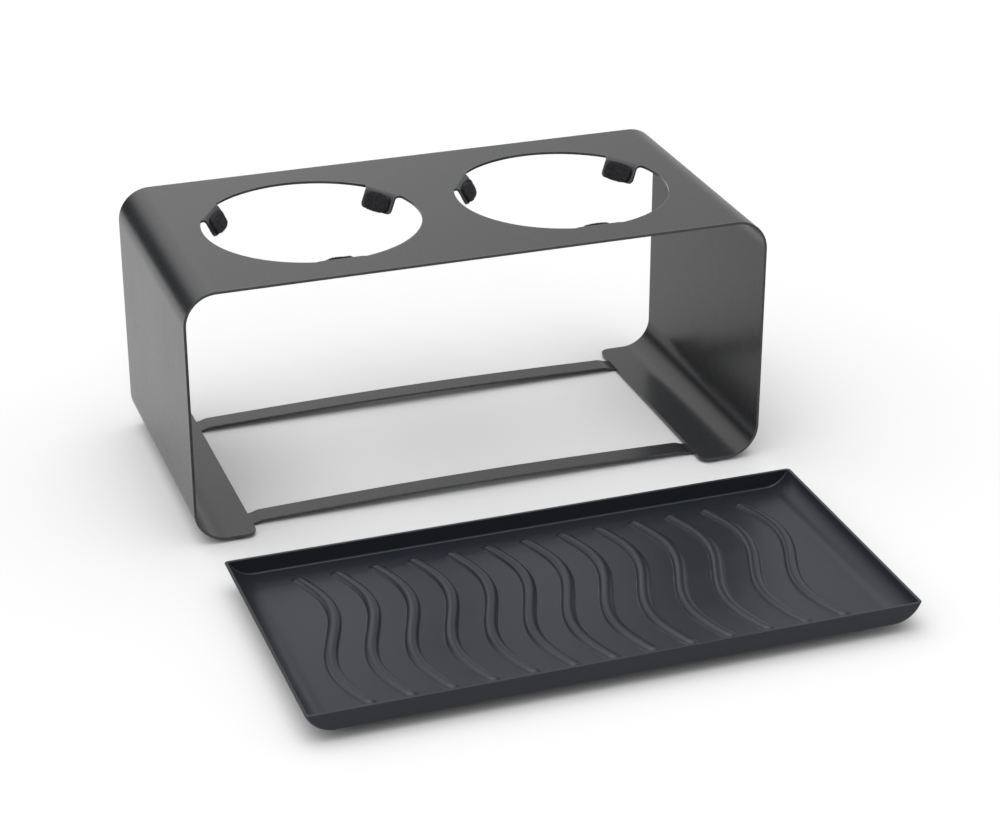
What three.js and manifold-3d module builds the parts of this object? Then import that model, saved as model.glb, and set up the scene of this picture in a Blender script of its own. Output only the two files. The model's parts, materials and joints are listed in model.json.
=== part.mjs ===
// A raised stand for two bowls, with a drip tray that slides in between its legs.
//
// The stand is one steel sheet bent into an open frame: a top plate, two legs and two inward feet.
// Each round hole in the plate keeps three bent tabs, and each tab carries a soft pad that grips
// the bowl. Two straps are welded under the feet and keep the legs from spreading. The tray is
// drawn right out to the front here, and pushed back by trayTravel it sits inside the stand.
//
// Millimetres. +X runs along the stand, +Y from its front to its back, +Z up from the floor. The
// origin is on the floor, in the middle of the ground that the stand and the drawn-out tray cover.

import * as THREE from 'three';
import { mergeVertices } from 'three/addons/utils/BufferGeometryUtils.js';
import Module from 'manifold-3d';

const wasm = await Module();
wasm.setup();

// ---------------------------------------------------------------- Driving dimensions

// The bent sheet
const standLength = 450;
const standDepth = 220;
const standHeight = 200;
const sheetThickness = 2;
const bendRadius = 25; // outside of the four bends
const footReach = 47; // leg's outer face to the toe
const toeCornerRadius = 8;

// The two bowl holes
const holeRadius = 83;
const holeSpacing = 200; // between the two centres

// The tabs round each hole, before and after bending
const tabWidth = 30;
const tabLeg = 12.5; // straight length below the bend
const tabBendRadius = 4; // to the middle of the sheet
const tabBendAngle = THREE.MathUtils.degToRad(62);
const tabRootFillet = 4;
const tabTipRadius = 4;
const tabRootOverlap = 3; // how far the tab's solid reaches into the plate
const tabAngles = { front: -90, right: 31.5, left: 148.5 }; // degrees round the hole from +X

// The soft pads on the tabs
const bowlPadWidth = 24.5;
const bowlPadLength = 15.4; // up and down the tab
const bowlPadSquareness = 2.6; // its outline's exponent: 2 is an ellipse, more is squarer
const bowlPadThickness = 3.2;
const bowlPadDrop = 5.7; // pad's centre, down the tab's leg from the bend
const padGap = 0.3; // glue line between pad and tab

// The straps under the feet
const strapWidth = 17;
const strapThickness = 1.8;
const strapPlace = 83; // strap's centre line, from the stand's middle
const strapTail = 20; // welded length under each foot
const strapStepGap = 1; // toe to the start of the step
const strapStepLength = 9;
const strapRise = 3; // gentle arch between the feet

// The feet's anti-slip pads
const footPadRadius = 7;
const footPadHeight = 2.4;
const footPadInset = 9.5; // pad's centre, in from the sheet's front or back edge
const footPadFromToe = 13;

// The drip tray
const trayEndGap = 3; // to the inside of each leg
const traySetback = 2; // behind the stand's front and back edges
const trayHeight = 15;
const trayWall = 2.2;
const trayEndEase = 1; // how much tighter its curved ends are than the inside of the stand's bends
const trayRunningGap = 0.4; // above the straps' arch
const trayTravel = 285;

// The wavy drip ribs on the tray's floor
const ribCount = 13;
const ribPitch = 28.5;
const ribWidth = 9.5;
const ribHeight = 2.4;
const ribEndSetback = 19; // rib's end to the tray's long wall
const ribWave = 10.5; // how far the wave swings to each side
const ribWaveLength = 170;
const ribEndFullness = 0.35; // share of its width and height left at the very end

// ---------------------------------------------------------------- Sizes that follow from them

const plateMiddle = standHeight - sheetThickness / 2;
const footUnderside = footPadHeight;
const toeX = standLength / 2 - footReach;
const tabRootHalf = tabWidth / 2 + tabRootFillet;
const tabRootRadius = Math.sqrt(holeRadius ** 2 - tabRootHalf ** 2); // root's chord across the hole
const tabBendLength = tabBendRadius * tabBendAngle;
const tabLength = tabBendLength + tabLeg;
const strapCrown = footUnderside + strapThickness + strapRise;
const trayLength = standLength - 2 * (sheetThickness + trayEndGap);
const trayDepth = standDepth - 2 * traySetback;
const trayUnderside = strapCrown + trayRunningGap;
const trayEndRadius = bendRadius - sheetThickness - trayEndEase; // outside of the curved ends
const ribEmbed = trayWall / 3; // how far a rib's solid reaches into the floor
const ribEndEase = ribWidth / 6; // length of the rounding's last step at a rib's end
const restFront = -trayTravel - trayDepth / 2;
const restBack = standDepth / 2;

// How finely the curves are divided
const BEND_STEPS = 8;
const HOLE_STEPS = 72;
const ROUND_STEPS = 24;
const TAB_TIP_STEPS = 4;
const STRAP_ARCH_STEPS = 8; // from the middle to one step
const STRAP_STEP_STEPS = 6;
const RIB_STEPS = 18; // between its two round ends
const BEAD_STEPS = 4; // over the rib's crown

// How far a cutting solid reaches past what it cuts
const CUT_MARGIN = 1;

// ---------------------------------------------------------------- Finishes

const powderCoat = new THREE.MeshStandardMaterial({ color: 0x3f4041, roughness: 0.5, metalness: 0.3 });
const moulded = new THREE.MeshStandardMaterial({ color: 0x24262b, roughness: 0.55, metalness: 0 });
const felt = new THREE.MeshStandardMaterial({ color: 0x1a1a1f, roughness: 0.95, metalness: 0 });
const rubber = new THREE.MeshStandardMaterial({ color: 0x151515, roughness: 0.85, metalness: 0 });

// ---------------------------------------------------------------- Helpers

/** A closed geometry as a manifold-3d solid. */
function solidFrom(geometry) {
  const bare = geometry.clone();
  bare.deleteAttribute('normal');
  bare.deleteAttribute('uv');
  const merged = mergeVertices(bare, 1e-4);
  return new wasm.Manifold(new wasm.Mesh({
    numProp: 3,
    vertProperties: new Float32Array(merged.attributes.position.array),
    triVerts: new Uint32Array(merged.index.array),
  }));
}

/** A manifold-3d solid as a three.js geometry. */
function geometryFrom(solid) {
  const mesh = solid.getMesh();
  const geometry = new THREE.BufferGeometry();
  geometry.setAttribute('position', new THREE.BufferAttribute(mesh.vertProperties, 3));
  geometry.setIndex(new THREE.BufferAttribute(mesh.triVerts, 1));
  geometry.computeVertexNormals();
  return geometry;
}

/** A side-view outline (x, z) as a solid of the given width, centred on y = 0. */
function alongY(outline, width, curveSegments = BEND_STEPS) {
  const geometry = new THREE.ExtrudeGeometry(outline, { depth: width, bevelEnabled: false, curveSegments });
  return geometry.rotateX(Math.PI / 2).translate(0, width / 2, 0);
}

/** A solid through equal rings of points, with flat ends. The rings turn anticlockwise seen from the last. */
function lofted(rings) {
  const size = rings[0].length;
  const positions = rings.flat().flatMap((point) => point.toArray());
  const index = [];
  for (let ring = 0; ring + 1 < rings.length; ring += 1) {
    for (let corner = 0; corner < size; corner += 1) {
      const a = ring * size + corner;
      const b = ring * size + (corner + 1) % size;
      index.push(a, b, b + size, a, b + size, a + size);
    }
  }
  const last = (rings.length - 1) * size;
  for (let corner = 1; corner + 1 < size; corner += 1) {
    index.push(0, corner + 1, corner);
    index.push(last, last + corner, last + corner + 1);
  }
  const geometry = new THREE.BufferGeometry();
  geometry.setAttribute('position', new THREE.Float32BufferAttribute(positions, 3));
  geometry.setIndex(index);
  return geometry;
}

/** Evenly spaced values from first to last. */
function spread(first, last, steps) {
  return Array.from({ length: steps + 1 }, (_, i) => first + ((last - first) * i) / steps);
}

/** A named mesh. */
function piece(name, geometry, material) {
  const mesh = new THREE.Mesh(geometry, material);
  mesh.name = name;
  return mesh;
}

// ---------------------------------------------------------------- The stand's sheet

/** Side view of the bent sheet: outside line from toe to toe, then back along the inside. */
function sheetOutline() {
  const half = standLength / 2;
  const bend = half - bendRadius;
  const low = footUnderside + bendRadius;
  const high = standHeight - bendRadius;
  const inner = bendRadius - sheetThickness;
  const quarter = Math.PI / 2;
  const outline = new THREE.Shape();
  outline.moveTo(-toeX, footUnderside);
  outline.absarc(-bend, low, bendRadius, -quarter, -Math.PI, true);
  outline.absarc(-bend, high, bendRadius, Math.PI, quarter, true);
  outline.absarc(bend, high, bendRadius, quarter, 0, true);
  outline.absarc(bend, low, bendRadius, 0, -quarter, true);
  outline.lineTo(toeX, footUnderside);
  outline.lineTo(toeX, footUnderside + sheetThickness);
  outline.absarc(bend, low, inner, -quarter, 0, false);
  outline.absarc(bend, high, inner, 0, quarter, false);
  outline.absarc(-bend, high, inner, quarter, Math.PI, false);
  outline.absarc(-bend, low, inner, Math.PI, Math.PI + quarter, false);
  outline.lineTo(-toeX, footUnderside + sheetThickness);
  outline.closePath();
  return outline;
}

/** What is cut off a square toe corner to leave it rounded. side and end are the signs of its x and y. */
function toeCornerCut(side, end) {
  const cornerX = side * toeX;
  const cornerY = end * standDepth / 2;
  const centreX = cornerX + side * toeCornerRadius;
  const centreY = cornerY - end * toeCornerRadius;
  const outline = new THREE.Shape();
  outline.moveTo(cornerX - side * CUT_MARGIN, cornerY + end * CUT_MARGIN);
  outline.lineTo(centreX, cornerY + end * CUT_MARGIN);
  for (const turn of spread(0, Math.PI / 2, BEND_STEPS)) {
    outline.lineTo(
      centreX - side * toeCornerRadius * Math.sin(turn),
      centreY + end * toeCornerRadius * Math.cos(turn),
    );
  }
  outline.lineTo(cornerX - side * CUT_MARGIN, centreY);
  outline.closePath();
  const height = sheetThickness + 2 * CUT_MARGIN;
  const geometry = new THREE.ExtrudeGeometry(outline, { depth: height, bevelEnabled: false });
  return geometry.translate(0, 0, footUnderside - CUT_MARGIN);
}

/** Half the tab's width at a length along it, from its root: a fillet at the root and round tip corners. */
function tabHalfWidth(along) {
  const half = tabWidth / 2;
  const toFilletEnd = Math.max(0, tabRootFillet - Math.max(along, 0));
  const pastTipStart = Math.max(0, along - (tabLength - tabTipRadius));
  const fillet = tabRootFillet - Math.sqrt(tabRootFillet ** 2 - toFilletEnd ** 2);
  const tip = tabTipRadius - Math.sqrt(Math.max(0, tabTipRadius ** 2 - pastTipStart ** 2));
  return half + fillet - tip;
}

/** The middle of the sheet at a length along the tab: reach from the hole's centre, height and slope. */
function tabMiddle(along) {
  const slope = THREE.MathUtils.clamp(along / tabBendRadius, 0, tabBendAngle);
  const straight = Math.min(along, 0) + Math.max(along - tabBendLength, 0);
  return {
    reach: tabRootRadius - tabBendRadius * Math.sin(slope) - straight * Math.cos(slope),
    height: plateMiddle - tabBendRadius * (1 - Math.cos(slope)) - straight * Math.sin(slope),
    slope,
  };
}

/** One bent tab, pointing at the hole's centre from +X. */
function tabGeometry() {
  const stations = [
    -tabRootOverlap,
    ...spread(0, tabBendLength, BEND_STEPS),
    ...spread(tabLength - tabTipRadius, tabLength, TAB_TIP_STEPS),
  ];
  const rings = stations.map((along) => {
    const { reach, height, slope } = tabMiddle(along);
    const half = tabHalfWidth(along);
    const out = new THREE.Vector3(-Math.sin(slope), 0, Math.cos(slope)).multiplyScalar(sheetThickness / 2);
    const middle = new THREE.Vector3(reach, 0, height);
    const corner = (side, face) => middle.clone().addScaledVector(out, face).setY(side * half);
    return [corner(-1, -1), corner(-1, 1), corner(1, 1), corner(1, -1)];
  });
  return lofted(rings);
}

/** The whole bent sheet, with its holes and tabs. */
function standSheet() {
  let sheet = solidFrom(alongY(sheetOutline(), standDepth));
  for (const side of [-1, 1]) {
    for (const end of [-1, 1]) {
      sheet = sheet.subtract(solidFrom(toeCornerCut(side, end)));
    }
    const holeHeight = sheetThickness + 2 * CUT_MARGIN;
    const hole = new THREE.CylinderGeometry(holeRadius, holeRadius, holeHeight, HOLE_STEPS);
    hole.rotateX(Math.PI / 2).translate(side * holeSpacing / 2, 0, plateMiddle);
    sheet = sheet.subtract(solidFrom(hole));
    for (const angle of Object.values(tabAngles)) {
      const tab = tabGeometry().rotateZ(THREE.MathUtils.degToRad(angle));
      sheet = sheet.add(solidFrom(tab.translate(side * holeSpacing / 2, 0, 0)));
    }
  }
  return piece('stand_sheet', geometryFrom(sheet), powderCoat);
}

// ---------------------------------------------------------------- Pads, straps and feet

/** One rounded pad, its face along z, its width along y. */
function bowlPadGeometry() {
  const fuller = (value) => Math.sign(value) * Math.abs(value) ** (2 / bowlPadSquareness);
  const outline = spread(0, 2 * Math.PI, ROUND_STEPS).slice(0, -1).map((angle) => new THREE.Vector2(
    (bowlPadLength / 2) * fuller(Math.cos(angle)),
    (bowlPadWidth / 2) * fuller(Math.sin(angle)),
  ));
  const options = { depth: bowlPadThickness, bevelEnabled: false };
  const slab = new THREE.ExtrudeGeometry(new THREE.Shape(outline), options);
  return slab.translate(0, 0, -bowlPadThickness / 2);
}

/** The three pads of one hole, each flat on its tab's inner face. */
function bowlPads(holeName, holeX) {
  const ring = new THREE.Group();
  ring.position.x = holeX;
  const { reach, height, slope } = tabMiddle(tabBendLength + bowlPadDrop);
  const standOff = sheetThickness / 2 + padGap + bowlPadThickness / 2;
  for (const [tabName, angle] of Object.entries(tabAngles)) {
    const pad = piece(`${holeName}_bowl_pad_${tabName}`, bowlPadGeometry(), felt);
    pad.position.set(reach - standOff * Math.sin(slope), 0, height + standOff * Math.cos(slope));
    pad.rotation.y = -slope;
    const turned = new THREE.Group();
    turned.rotation.z = THREE.MathUtils.degToRad(angle);
    turned.add(pad);
    ring.add(turned);
  }
  return ring;
}

/** Height of a strap's underside at x: flat tails under the feet, a step up at each toe, then the arch. */
function strapUnderside(x) {
  const stepStart = toeX - strapStepGap;
  const run = THREE.MathUtils.smoothstep(stepStart - Math.abs(x), 0, strapStepLength);
  const arch = strapRise * Math.cos((Math.PI / 2) * Math.min(Math.abs(x) / stepStart, 1));
  return footUnderside + strapThickness * (run - 1) + arch * run;
}

/** One strap, centred on y = 0. */
function strapGeometry() {
  const stepStart = toeX - strapStepGap;
  const stepEnd = stepStart - strapStepLength;
  const rightHalf = [
    ...spread(0, stepEnd, STRAP_ARCH_STEPS),
    ...spread(stepEnd, stepStart, STRAP_STEP_STEPS).slice(1),
    toeX + strapTail,
  ];
  const stations = [...rightHalf.slice(1).reverse().map((x) => -x), ...rightHalf];
  const outline = new THREE.Shape();
  outline.moveTo(stations[0], strapUnderside(stations[0]));
  for (const x of stations.slice(1)) outline.lineTo(x, strapUnderside(x));
  for (const x of stations.toReversed()) outline.lineTo(x, strapUnderside(x) + strapThickness);
  outline.closePath();
  return alongY(outline, strapWidth);
}

/** Both straps. */
function straps() {
  const pair = new THREE.Group();
  for (const [name, end] of [['front', -1], ['back', 1]]) {
    const strap = piece(`${name}_strap`, strapGeometry(), powderCoat);
    strap.position.y = end * strapPlace;
    pair.add(strap);
  }
  return pair;
}

/** The four anti-slip pads under the feet. */
function footPads() {
  const pads = new THREE.Group();
  for (const [sideName, side] of [['left', -1], ['right', 1]]) {
    for (const [endName, end] of [['front', -1], ['back', 1]]) {
      const disc = new THREE.CylinderGeometry(footPadRadius, footPadRadius, footPadHeight, ROUND_STEPS);
      const pad = piece(`foot_pad_${endName}_${sideName}`, disc.rotateX(Math.PI / 2), rubber);
      pad.position.set(
        side * (toeX + footPadFromToe),
        end * (standDepth / 2 - footPadInset),
        footPadHeight / 2,
      );
      pads.add(pad);
    }
  }
  return pads;
}

// ---------------------------------------------------------------- The drip tray

/** Side view of a trough with quarter-round ends: flat at bottom, open or level at top. */
function troughOutline(endRadius, bottom, top) {
  const flatHalf = trayFlatHalf();
  const centreZ = trayEndRadius;
  const lift = Math.asin((centreZ - top) / endRadius);
  const outline = new THREE.Shape();
  outline.moveTo(-flatHalf, bottom);
  outline.absarc(flatHalf, centreZ, endRadius, -Math.PI / 2, -lift, false);
  outline.absarc(-flatHalf, centreZ, endRadius, Math.PI + lift, 1.5 * Math.PI, false);
  outline.closePath();
  return outline;
}

/** Half the flat length of the tray's underside, between the two curved ends. */
function trayFlatHalf() {
  const belowCentre = trayEndRadius - trayHeight;
  return trayLength / 2 - Math.sqrt(trayEndRadius ** 2 - belowCentre ** 2);
}

/** One wavy rib, standing on the tray's floor, its middle at x. */
function ribGeometry(x) {
  const endY = trayDepth / 2 - ribEndSetback;
  const turn = (2 * Math.PI) / ribWaveLength;
  const roundEnd = ribWidth / 2;
  const endStations = [endY - ribEndEase, endY];
  const stations = [
    ...endStations.toReversed().map((y) => -y),
    ...spread(-endY + roundEnd, endY - roundEnd, RIB_STEPS),
    ...endStations,
  ];
  const rings = stations.map((y) => {
    const fromEnd = Math.min((endY - Math.abs(y)) / roundEnd, 1);
    const fullness = ribEndFullness + (1 - ribEndFullness) * Math.sqrt(1 - (1 - fromEnd) ** 2);
    const side = new THREE.Vector3(1, -ribWave * turn * Math.cos(turn * y), 0).normalize();
    const middle = new THREE.Vector3(x + ribWave * Math.sin(turn * y), y, trayWall);
    const at = (across, up) => middle.clone()
      .addScaledVector(side, across * fullness * ribWidth / 2)
      .add(new THREE.Vector3(0, 0, up));
    const crown = ribHeight * fullness;
    const bead = spread(Math.PI, 0, BEAD_STEPS).map((angle) => at(Math.cos(angle), crown * Math.sin(angle)));
    return [at(-1, -ribEmbed), ...bead, at(1, -ribEmbed)];
  });
  return lofted(rings);
}

/** The tray with its ribs, its underside on z = 0. */
function dripTray() {
  const openTop = trayHeight + CUT_MARGIN;
  const outside = solidFrom(alongY(troughOutline(trayEndRadius, 0, trayHeight), trayDepth));
  const insideOutline = troughOutline(trayEndRadius - trayWall, trayWall, openTop);
  const inside = solidFrom(alongY(insideOutline, trayDepth - 2 * trayWall));
  let tray = outside.subtract(inside);
  for (let rib = 0; rib < ribCount; rib += 1) {
    const x = ribPitch * (rib - (ribCount - 1) / 2);
    tray = tray.add(solidFrom(ribGeometry(x)));
  }
  return piece('drip_tray', geometryFrom(tray), moulded);
}

// ---------------------------------------------------------------- The whole

const bowlStand = new THREE.Group();
bowlStand.position.y = -(restFront + restBack) / 2;

bowlStand.add(standSheet());
bowlStand.add(bowlPads('left', -holeSpacing / 2));
bowlStand.add(bowlPads('right', holeSpacing / 2));
bowlStand.add(straps());
bowlStand.add(footPads());

const tray = dripTray();
tray.position.set(0, -trayTravel, trayUnderside);
bowlStand.add(tray);

export default bowlStand;
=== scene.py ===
"""A raised stand for two bowls, with the drip tray that slides in between its legs.

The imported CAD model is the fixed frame. Round it this script folds the stand's steel sheet, bends its two
straps, presses the felt pads and rubber feet, moulds the drip tray with its wavy ribs, gives each its finish
and sets them in a plain pale studio.

Metres. +X runs along the stand, +Y from its front to its back, +Z up from the floor.
"""

import json
import logging
import math
from dataclasses import dataclass
from enum import Enum
from typing import Optional, Sequence, Union

import bmesh
import bpy
from mathutils import Matrix, Vector, noise


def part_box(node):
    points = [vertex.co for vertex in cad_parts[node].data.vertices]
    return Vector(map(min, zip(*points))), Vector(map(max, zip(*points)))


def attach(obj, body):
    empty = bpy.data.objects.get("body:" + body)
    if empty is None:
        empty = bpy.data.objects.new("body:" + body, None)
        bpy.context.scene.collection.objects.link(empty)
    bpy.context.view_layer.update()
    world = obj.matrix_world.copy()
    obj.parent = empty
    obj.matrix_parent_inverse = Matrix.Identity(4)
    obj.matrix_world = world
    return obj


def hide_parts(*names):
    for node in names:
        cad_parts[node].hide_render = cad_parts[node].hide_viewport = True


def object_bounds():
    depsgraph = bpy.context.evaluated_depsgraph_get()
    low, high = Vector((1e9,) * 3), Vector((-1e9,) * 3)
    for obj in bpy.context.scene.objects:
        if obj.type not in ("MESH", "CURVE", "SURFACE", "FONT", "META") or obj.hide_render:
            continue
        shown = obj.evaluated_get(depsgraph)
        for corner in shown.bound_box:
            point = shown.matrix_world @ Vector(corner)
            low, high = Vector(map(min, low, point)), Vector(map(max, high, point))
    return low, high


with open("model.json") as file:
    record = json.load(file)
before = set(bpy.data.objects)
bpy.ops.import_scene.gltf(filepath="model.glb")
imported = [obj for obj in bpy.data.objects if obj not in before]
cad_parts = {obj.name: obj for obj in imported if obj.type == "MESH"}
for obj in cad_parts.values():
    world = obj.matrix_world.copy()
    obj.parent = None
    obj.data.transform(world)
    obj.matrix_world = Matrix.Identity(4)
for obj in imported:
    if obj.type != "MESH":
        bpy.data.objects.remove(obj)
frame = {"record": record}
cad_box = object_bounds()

logging.basicConfig(level=logging.INFO, format="%(message)s")
log = logging.getLogger("bowl_stand")

MM = 0.001
RIGHT_ANGLE = math.pi / 2
FULL_TURN = 2 * math.pi
ON_BORDER = 0.01 * MM  # how near a border a point counts as on it
ANGLE_SLACK = 1e-6  # rounding that is let pass when angles are compared
CORNER_STEPS = 6  # points round a small rounded corner
SHARP_ANGLE = math.radians(50)  # edges that turn by more than this are rounded
EDGE_MARK = "edge"
RIB_MARK = "rib_ground"
PILE_MARK = "pile"

Colour = tuple[float, float, float]


class Side(Enum):
    """The two ends of the stand, as signs of x."""

    LEFT = -1
    RIGHT = 1


class End(Enum):
    """The stand's front and back, as signs of y."""

    FRONT = -1
    BACK = 1


class TabPlace(Enum):
    """Where a tab stands round its hole, in degrees from +X."""

    FRONT = -90.0
    RIGHT = 31.5
    LEFT = 148.5


# ---------------------------------------------------------------- Node graphs


class Wire:
    """A node's output. Arithmetic on it adds Math nodes to its tree."""

    def __init__(self, graph: "Graph", socket: bpy.types.NodeSocket) -> None:
        """Keeps the socket and the graph that it is in."""
        self.graph = graph
        self.socket = socket

    def __add__(self, other: "Value") -> "Wire":
        """This plus other."""
        return self.graph.math("ADD", self, other)

    def __radd__(self, other: "Value") -> "Wire":
        """Other plus this."""
        return self.graph.math("ADD", other, self)

    def __sub__(self, other: "Value") -> "Wire":
        """This less other."""
        return self.graph.math("SUBTRACT", self, other)

    def __rsub__(self, other: "Value") -> "Wire":
        """Other less this."""
        return self.graph.math("SUBTRACT", other, self)

    def __mul__(self, other: "Value") -> "Wire":
        """This times other."""
        return self.graph.math("MULTIPLY", self, other)

    def __rmul__(self, other: "Value") -> "Wire":
        """Other times this."""
        return self.graph.math("MULTIPLY", other, self)

    def __truediv__(self, other: "Value") -> "Wire":
        """This over other."""
        return self.graph.math("DIVIDE", self, other)

    def __rtruediv__(self, other: "Value") -> "Wire":
        """Other over this."""
        return self.graph.math("DIVIDE", other, self)

    def __pow__(self, other: "Value") -> "Wire":
        """This to the power of other."""
        return self.graph.math("POWER", self, other)

    def __rpow__(self, other: "Value") -> "Wire":
        """Other to the power of this."""
        return self.graph.math("POWER", other, self)

    def __abs__(self) -> "Wire":
        """This without its sign."""
        return self.graph.math("ABSOLUTE", self)


Value = Union[Wire, float, Sequence[float], bpy.types.Material]


class Graph:
    """A node tree that is being built, for a material, a world or a geometry rule."""

    def __init__(self, tree: bpy.types.NodeTree) -> None:
        """Keeps the tree."""
        self.tree = tree

    def node(
        self,
        kind: str,
        settings: Optional[dict[str, object]] = None,
        inputs: Optional[dict[Union[str, int], Value]] = None,
    ) -> bpy.types.Node:
        """Adds one node.

        Args:
            kind: the node's type.
            settings: its properties, set first.
            inputs: a value or a Wire for each socket that needs one.

        Returns:
            The node.
        """
        made = self.tree.nodes.new(kind)
        for name, setting in (settings or {}).items():
            setattr(made, name, setting)
        for key, value in (inputs or {}).items():
            self.feed(made.inputs[key], value)
        return made

    def feed(self, socket: bpy.types.NodeSocket, value: Value) -> None:
        """Links a Wire to a socket, or sets the socket's own value.

        Args:
            socket: the input socket.
            value: a Wire or a plain value.
        """
        if isinstance(value, Wire):
            self.tree.links.new(value.socket, socket)
        else:
            socket.default_value = value

    def out(self, node: bpy.types.Node, name: Union[str, int] = 0) -> Wire:
        """One output of a node."""
        return Wire(self, node.outputs[name])

    def math(self, operation: str, *values: Value) -> Wire:
        """The result of a Math node on the values."""
        return self.out(self.node("ShaderNodeMath", {"operation": operation}, dict(enumerate(values))))

    def clamped(self, value: Value, low: float = 0.0, high: float = 1.0) -> Wire:
        """The value kept between low and high."""
        return self.math("MAXIMUM", self.math("MINIMUM", value, high), low)

    def eased(self, value: Value) -> Wire:
        """The value from 0 to 1, smoothed at both ends."""
        kept = self.clamped(value)
        return kept * kept * (3.0 - 2.0 * kept)

    def blended(self, factor: Value, first: Value, second: Value) -> Wire:
        """A colour between first, at factor 0, and second, at factor 1."""
        inputs = {"Factor": factor, 6: first, 7: second}
        return self.out(self.node("ShaderNodeMix", {"data_type": "RGBA"}, inputs), 2)

    def noise(self, where: Wire, grain: float, detail: float = 2.0, roughness: float = 0.5) -> Wire:
        """Noise from 0 to 1.

        Args:
            where: the coordinates.
            grain: the size of its spots, in metres.
            detail: how many finer layers it has.
            roughness: how strong those are.

        Returns:
            The noise's value.
        """
        inputs = {"Vector": where, "Scale": 1.0 / grain, "Detail": detail, "Roughness": roughness}
        return self.out(self.node("ShaderNodeTexNoise", None, inputs), 0)


def opaque(colour: Colour) -> tuple[float, float, float, float]:
    """The colour with full alpha."""
    return (*colour, 1.0)


def shaded(colour: Colour, share: float) -> tuple[float, float, float, float]:
    """The colour made darker or lighter by a share, with full alpha."""
    return opaque(tuple(share * part for part in colour))


# ---------------------------------------------------------------- Finishes


@dataclass(frozen=True)
class Finish:
    """A surface finish. Each kind builds its own material."""

    name: str
    slot: str
    colour: Colour
    roughness: float

    def material(self) -> bpy.types.Material:
        """The material, built once and then shared."""
        return bpy.data.materials.get(self.name) or self._build()

    def _build(self) -> bpy.types.Material:
        """Makes the material's nodes.

        Returns:
            The new material.
        """
        made = bpy.data.materials.new(self.name)
        made.use_nodes = True
        made.node_tree.nodes.clear()
        graph = Graph(made.node_tree)
        shader = graph.node("ShaderNodeBsdfPrincipled")
        output = graph.node("ShaderNodeOutputMaterial")
        graph.feed(output.inputs["Surface"], graph.out(shader))
        where = graph.out(graph.node("ShaderNodeTexCoord"), "Object")
        self.dress(graph, shader, where)
        return made

    def dress(self, graph: Graph, shader: bpy.types.Node, where: Wire) -> None:
        """Sets the shader's sockets.

        Args:
            graph: the material's graph.
            shader: its Principled BSDF node.
            where: the piece's Object coordinates.
        """
        raise NotImplementedError

    @staticmethod
    def emboss(graph: Graph, shader: bpy.types.Node, height: Wire, depth: float) -> None:
        """Feeds a Bump node to the shader's Normal.

        Args:
            graph: the material's graph.
            shader: its Principled BSDF node.
            height: the relief, from 0 to 1.
            depth: the relief's height in metres.
        """
        inputs = {"Height": height, "Distance": depth, "Strength": 1.0}
        graph.feed(shader.inputs["Normal"], graph.out(graph.node("ShaderNodeBump", None, inputs)))


@dataclass(frozen=True)
class PowderCoat(Finish):
    """Satin powder coat on steel: a fine orange peel, cloudy gloss, and edges painted lighter, partly where
    the coat lies thin and partly as a painted highlight.
    """

    # colour of the lighter edges: partly coat rubbed thin, partly a painted highlight along the cut edges
    worn_edge_highlight_colour: Colour = (0.075, 0.077, 0.08)
    specular: float = 0.31
    peel: float = 1.4 * MM
    grain: float = 0.35 * MM
    relief: float = 0.004 * MM
    cloud: float = 60 * MM
    cloud_gloss: float = 0.05
    grain_gloss: float = 0.06
    edge_gloss: float = 0.08
    edge_wear_and_highlight: float = 0.6
    rub_and_highlight_grain: float = 6 * MM
    rub_and_highlight_start: float = 0.35
    tint_swing: float = 0.1
    peel_share: float = 0.6

    def dress(self, graph: Graph, shader: bpy.types.Node, where: Wire) -> None:
        """Sets the shader's sockets.

        Args:
            graph: the material's graph.
            shader: its Principled BSDF node.
            where: the piece's Object coordinates.
        """
        edge = graph.out(graph.node("ShaderNodeAttribute", {"attribute_name": EDGE_MARK}), "Fac")
        clouds = graph.noise(where, self.cloud, 3.0)
        peel = graph.noise(where, self.peel, 1.0)
        grain = graph.noise(where, self.grain, 2.0)
        # edge mask: lightens and glosses the cut edges; the lightening is partly wear and partly a painted
        # highlight
        rubbed_and_highlit = graph.clamped(edge * (0.5 + graph.noise(where, self.rub_and_highlight_grain, 4.0)) - self.rub_and_highlight_start)
        darker = shaded(self.colour, 1 - self.tint_swing)
        lighter = shaded(self.colour, 1 + self.tint_swing)
        tint = graph.blended(clouds, darker, lighter)
        # painted highlight: the cut edges are painted lighter, partly as worn coat
        colour = graph.blended(rubbed_and_highlit * self.edge_wear_and_highlight, tint, opaque(self.worn_edge_highlight_colour))
        graph.feed(shader.inputs["Base Color"], colour)
        gloss = (
            self.cloud_gloss * (clouds - 0.5)
            + self.grain_gloss * (grain - 0.5)
            - self.edge_gloss * rubbed_and_highlit
        )
        graph.feed(shader.inputs["Roughness"], self.roughness + gloss)
        shader.inputs["Specular IOR Level"].default_value = self.specular
        height = self.peel_share * peel + (1 - self.peel_share) * grain
        self.emboss(graph, shader, height, self.relief)


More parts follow.
